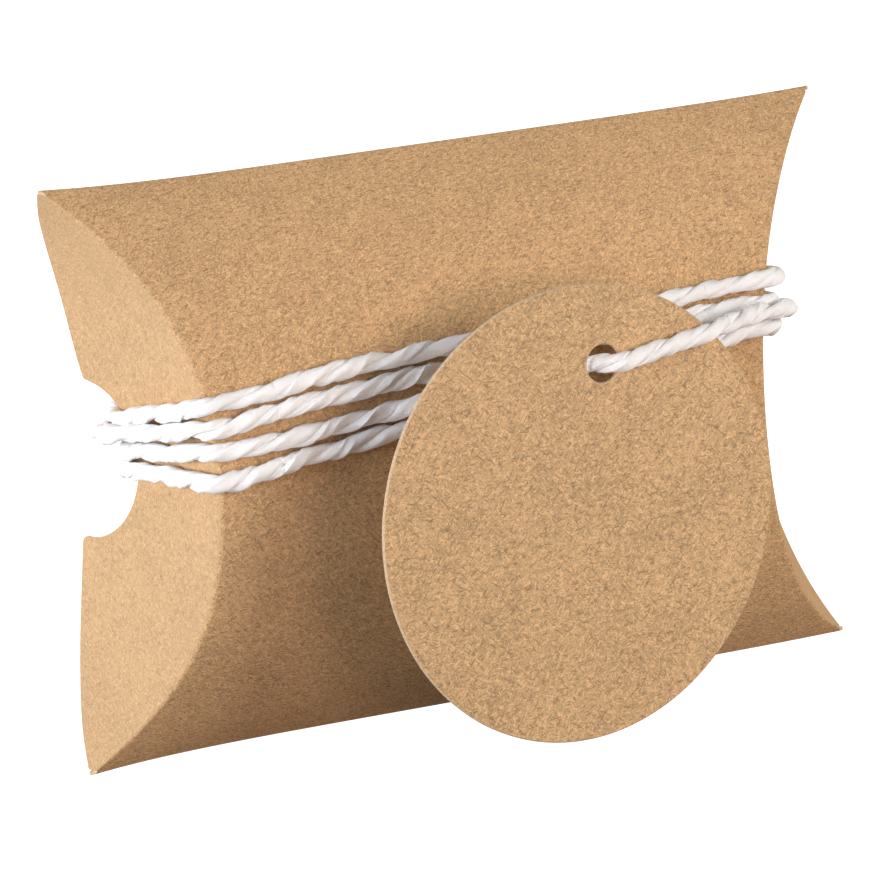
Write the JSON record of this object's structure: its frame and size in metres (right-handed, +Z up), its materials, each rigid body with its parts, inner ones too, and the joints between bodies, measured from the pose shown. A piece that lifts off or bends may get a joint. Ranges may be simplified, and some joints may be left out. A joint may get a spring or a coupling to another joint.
{
  "type": "pillow box",
  "caption": "Folded card pillow box with bowed faces and tucked end flaps, wound with twine that carries a blank round tag.",
  "frame": {"origin": "middle of the long bottom fold that the box stands on", "axes": "+X along the box to the viewer's right, -Y the front face with the tag, +Z up"},
  "size_m": [0.0928, 0.0458, 0.065],
  "materials": {
    "kraft_card": "uncoated fibre-flecked kraft",
    "tag_card": "uncoated fibre-flecked kraft",
    "dried_glue": "dried white glue",
    "twine": "twisted matt cotton"
  },
  "bodies": {
    "box_body": {"front_panel": "kraft_card", "back_panel": "kraft_card", "glue_tab": "kraft_card", "glue_line": "dried_glue", "cord_winding": "twine"},
    "left_outer": {"left_outer_flap": "kraft_card"},
    "right_outer": {"right_outer_flap": "kraft_card"},
    "left_inner": {"left_inner_flap": "kraft_card"},
    "right_inner": {"right_inner_flap": "kraft_card"},
    "hanging_tag": {"round_tag": "tag_card"}
  },
  "joints": [
    {"name": "left_outer_hinge", "type": "hinge", "parent": "box_body", "child": "left_outer", "pos_m": [-0.03286, -0.0129, 0.0325], "axis": [0, 0, 1], "range_deg": [0, 90], "deforming": ["cord_winding"]},
    {"name": "left_inner_hinge", "type": "hinge", "parent": "box_body", "child": "left_inner", "pos_m": [-0.03325, 0.0133, 0.0325], "axis": [0, 0, -1], "range_deg": [0, 45]},
    {"name": "right_outer_hinge", "type": "hinge", "parent": "box_body", "child": "right_outer", "pos_m": [0.03286, -0.0129, 0.0325], "axis": [0, 0, -1], "range_deg": [0, 90], "deforming": ["cord_winding"]},
    {"name": "right_inner_hinge", "type": "hinge", "parent": "box_body", "child": "right_inner", "pos_m": [0.03325, 0.0133, 0.0325], "axis": [0, 0, 1], "range_deg": [0, 45]},
    {"name": "tag_swing", "type": "hinge", "parent": "box_body", "child": "hanging_tag", "pos_m": [0.01, -0.02241, 0.04194], "axis": [-0.9854, -0.1702, 0], "range_deg": [0, 45], "deforming": ["cord_winding"]}
  ],
  "couplings": [
    {"joint": "left_inner_hinge", "follows": "left_outer_hinge", "ratio": 0.5},
    {"joint": "right_inner_hinge", "follows": "right_outer_hinge", "ratio": 0.5}
  ]
}
